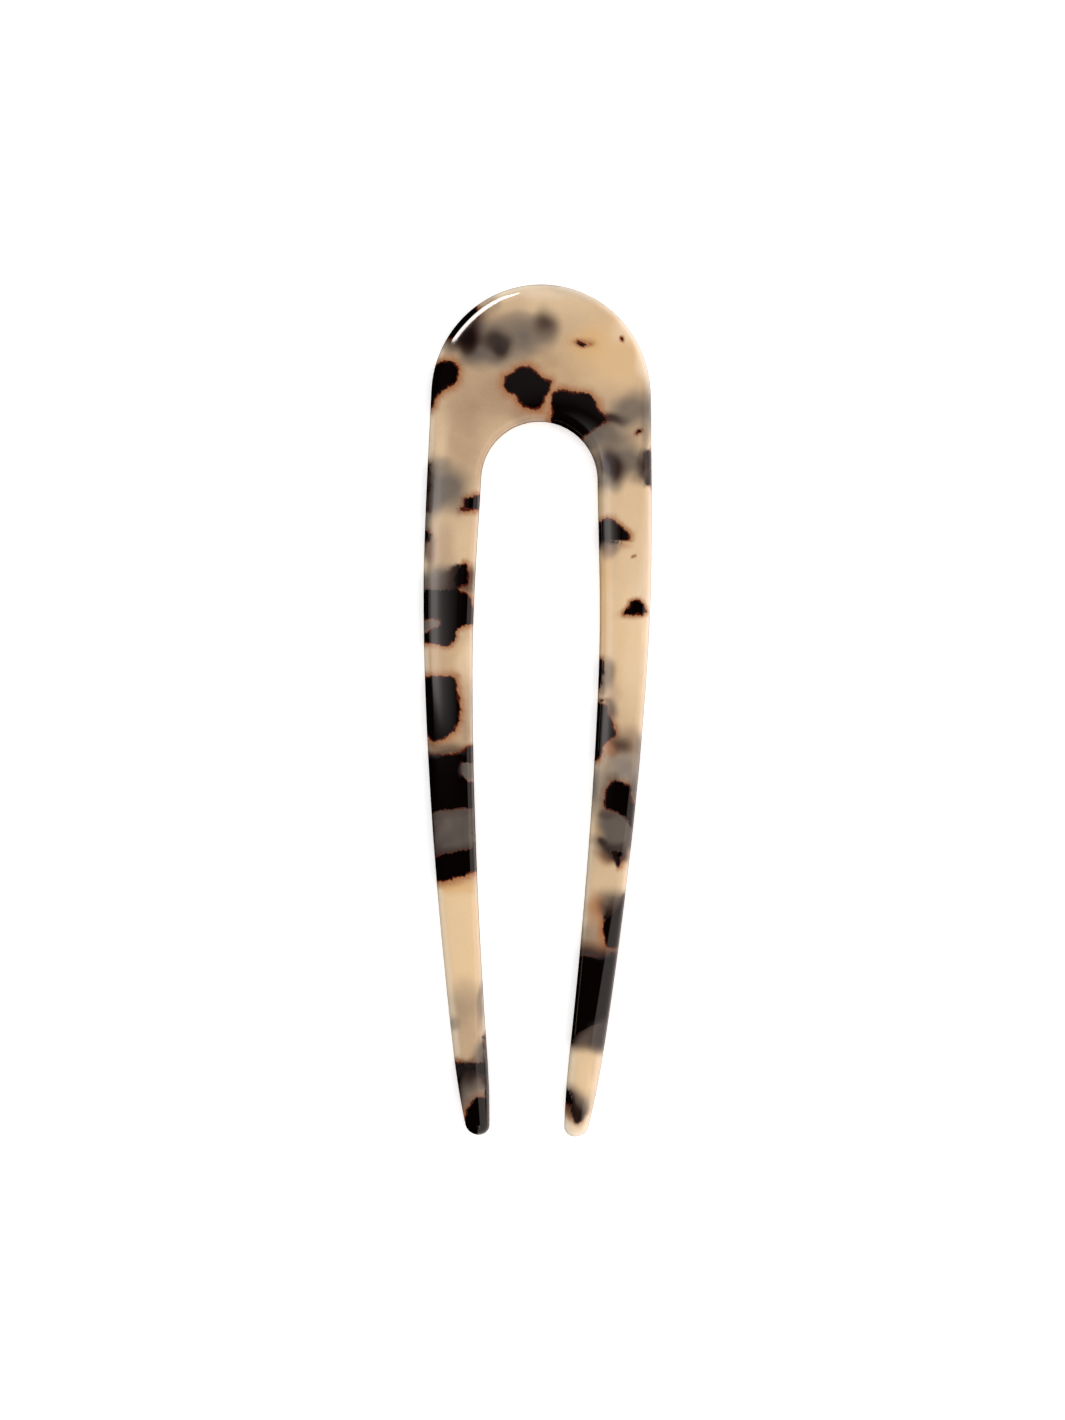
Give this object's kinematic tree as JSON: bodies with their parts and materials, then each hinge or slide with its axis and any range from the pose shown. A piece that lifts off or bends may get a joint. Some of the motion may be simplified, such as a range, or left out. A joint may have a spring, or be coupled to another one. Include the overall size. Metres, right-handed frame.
{
  "type": "french hair pin",
  "caption": "Flat U-shaped hair pin in polished blonde tortoise acetate, with a round crown and tapering prongs that hold a bun or twist of hair.",
  "frame": {"origin": "centre of the pin's box on the surface that its back lies on", "axes": "+Y along the pin from the prong ends to the crown, +Z out of the front face, +X across the prongs to the right as seen from the front with the crown up"},
  "size_m": [0.0288, 0.108, 0.004],
  "materials": {
    "acetate": "polished blonde tortoise acetate: cream to honey ground with near black chips on the surface and soft grey and brown chips under it"
  },
  "bodies": {
    "root": {"hair_pin": "acetate"}
  },
  "joints": []
}
